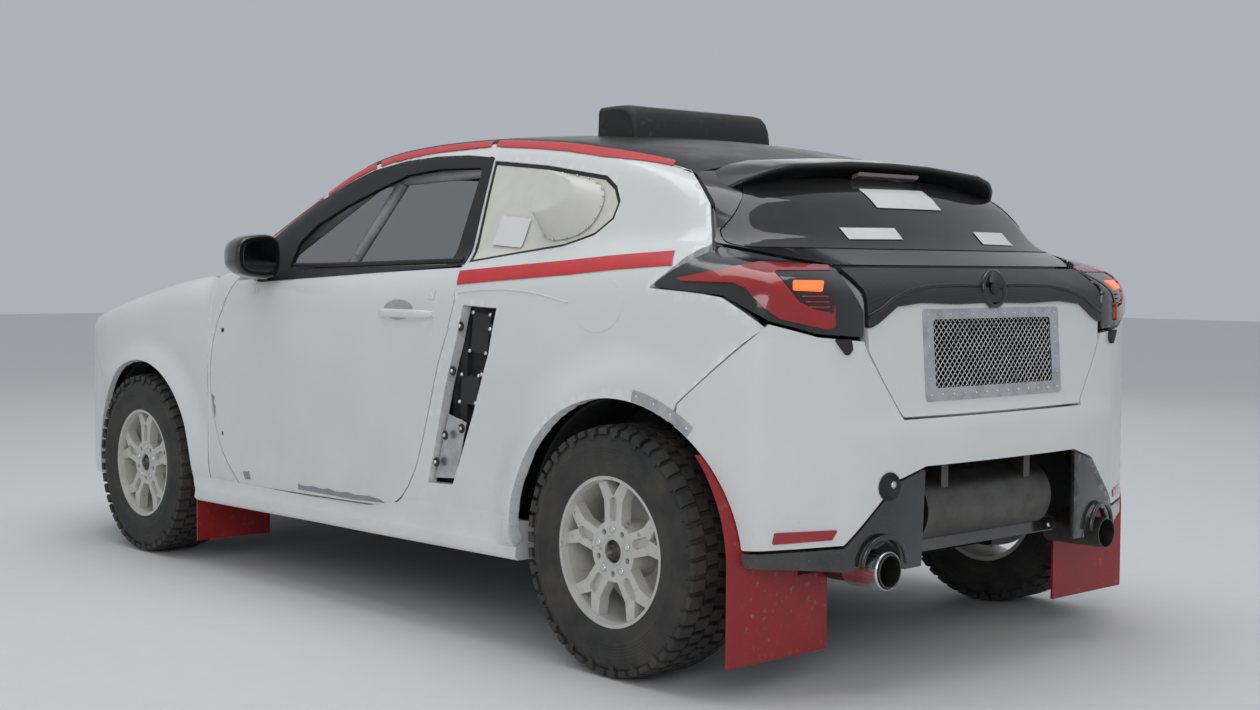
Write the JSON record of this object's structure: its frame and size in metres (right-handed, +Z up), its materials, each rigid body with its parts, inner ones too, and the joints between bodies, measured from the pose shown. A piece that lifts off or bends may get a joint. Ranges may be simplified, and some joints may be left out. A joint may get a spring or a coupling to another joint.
{
  "type": "mid-engine rally hatchback",
  "caption": "Full-size three-door rally car with the engine behind the seats: opening doors, hood and tailgate, steered front wheels, hollow cabin, roof scoop and mud flaps.",
  "frame": {"origin": "on the ground, midway along the car and on its centre plane", "axes": "+X forward, +Y the car's left, +Z up"},
  "size_m": [3.995, 1.968, 1.526],
  "materials": {
    "white_paint": "gloss",
    "black_paint": "gloss",
    "black_plastic": "matte",
    "cream_panel": "satin",
    "clear_glass": "gloss",
    "lamp_red": "gloss",
    "lamp_clear": "gloss",
    "grey_paint": "satin",
    "bare_aluminium": "satin",
    "steel": "satin",
    "cast_engine": "matte",
    "red_rubber": "satin",
    "seat_cloth": "matte",
    "rim_paint": "satin",
    "tyre_rubber": "matte"
  },
  "bodies": {
    "body": {"cowl": "black_plastic", "dashboard": "black_plastic", "diffuser": "black_paint", "engine_block": "cast_engine", "exhaust": "steel", "fenders": "white_paint", "floor_pan": "grey_paint", "front_pan": "grey_paint", "front_bumper": "white_paint", "front_subframe": "grey_paint", "fuel_flap": "white_paint", "grille": "black_plastic", "headlamps": "lamp_clear", "intake_plates": "bare_aluminium", "mud_flaps": "red_rubber", "quarter_windows": "cream_panel", "rear_axle": "grey_paint", "rear_beam": "bare_aluminium", "rear_bumper": "white_paint", "roll_cage": "grey_paint", "roof": "black_paint", "roof_scoop": "black_plastic", "seats": "seat_cloth", "side_body_left": "white_paint", "side_body_right": "white_paint", "side_skirts": "white_paint", "tail_lamps": "lamp_red", "window_frames": "black_paint", "windscreen": "clear_glass"},
    "left_door": {"door_left": "white_paint", "mirror_left": "black_plastic"},
    "right_door": {"door_right": "white_paint", "mirror_right": "black_plastic", "door_glass_right": "clear_glass"},
    "front_lid": {"hood": "white_paint"},
    "rear_lid": {"tailgate": "white_paint", "rear_glass": "clear_glass", "vent_panel": "bare_aluminium", "spoiler": "black_paint"},
    "steer_left": {"knuckle_left": "steel"},
    "steer_right": {"knuckle_right": "steel"},
    "wheel_front_left": {"rim_fl": "rim_paint", "tyre_fl": "tyre_rubber"},
    "wheel_front_right": {"rim_fr": "rim_paint", "tyre_fr": "tyre_rubber"},
    "wheel_rear_left": {"rim_rl": "rim_paint", "tyre_rl": "tyre_rubber"},
    "wheel_rear_right": {"rim_rr": "rim_paint", "tyre_rr": "tyre_rubber"}
  },
  "joints": [
    {"name": "left_door_swing", "type": "hinge", "parent": "body", "child": "left_door", "pos_m": [0.602, 0.838, 0.645], "axis": [0, 0, -1], "range_deg": [0, 65]},
    {"name": "right_door_swing", "type": "hinge", "parent": "body", "child": "right_door", "pos_m": [0.602, -0.838, 0.645], "axis": [0, 0, 1], "range_deg": [0, 65]},
    {"name": "hood_lift", "type": "hinge", "parent": "body", "child": "front_lid", "pos_m": [0.917, 0, 0.99], "axis": [0, -1, 0], "range_deg": [0, 50]},
    {"name": "tailgate_lift", "type": "hinge", "parent": "body", "child": "rear_lid", "pos_m": [-1.448, 0, 1.319], "axis": [0, 1, 0], "range_deg": [0, 70]},
    {"name": "steering_left", "type": "hinge", "parent": "body", "child": "steer_left", "pos_m": [1.1575, 0.7, 0.205], "axis": [0, -0.1776, 0.9841], "range_deg": [-30, 30]},
    {"name": "steering_right", "type": "hinge", "parent": "body", "child": "steer_right", "pos_m": [1.1575, -0.7, 0.205], "axis": [0, 0.1776, 0.9841], "range_deg": [-30, 30]},
    {"name": "front_left_spin", "type": "hinge", "parent": "steer_left", "child": "wheel_front_left", "pos_m": [1.1575, 0.7675, 0.322], "axis": [0, 1, 0], "continuous": true},
    {"name": "front_right_spin", "type": "hinge", "parent": "steer_right", "child": "wheel_front_right", "pos_m": [1.1575, -0.7675, 0.322], "axis": [0, 1, 0], "continuous": true},
    {"name": "rear_left_spin", "type": "hinge", "parent": "body", "child": "wheel_rear_left", "pos_m": [-1.4025, 0.7825, 0.322], "axis": [0, 1, 0], "continuous": true},
    {"name": "rear_right_spin", "type": "hinge", "parent": "body", "child": "wheel_rear_right", "pos_m": [-1.4025, -0.7825, 0.322], "axis": [0, 1, 0], "continuous": true}
  ],
  "couplings": [
    {"joint": "steering_right", "follows": "steering_left", "ratio": 1}
  ]
}
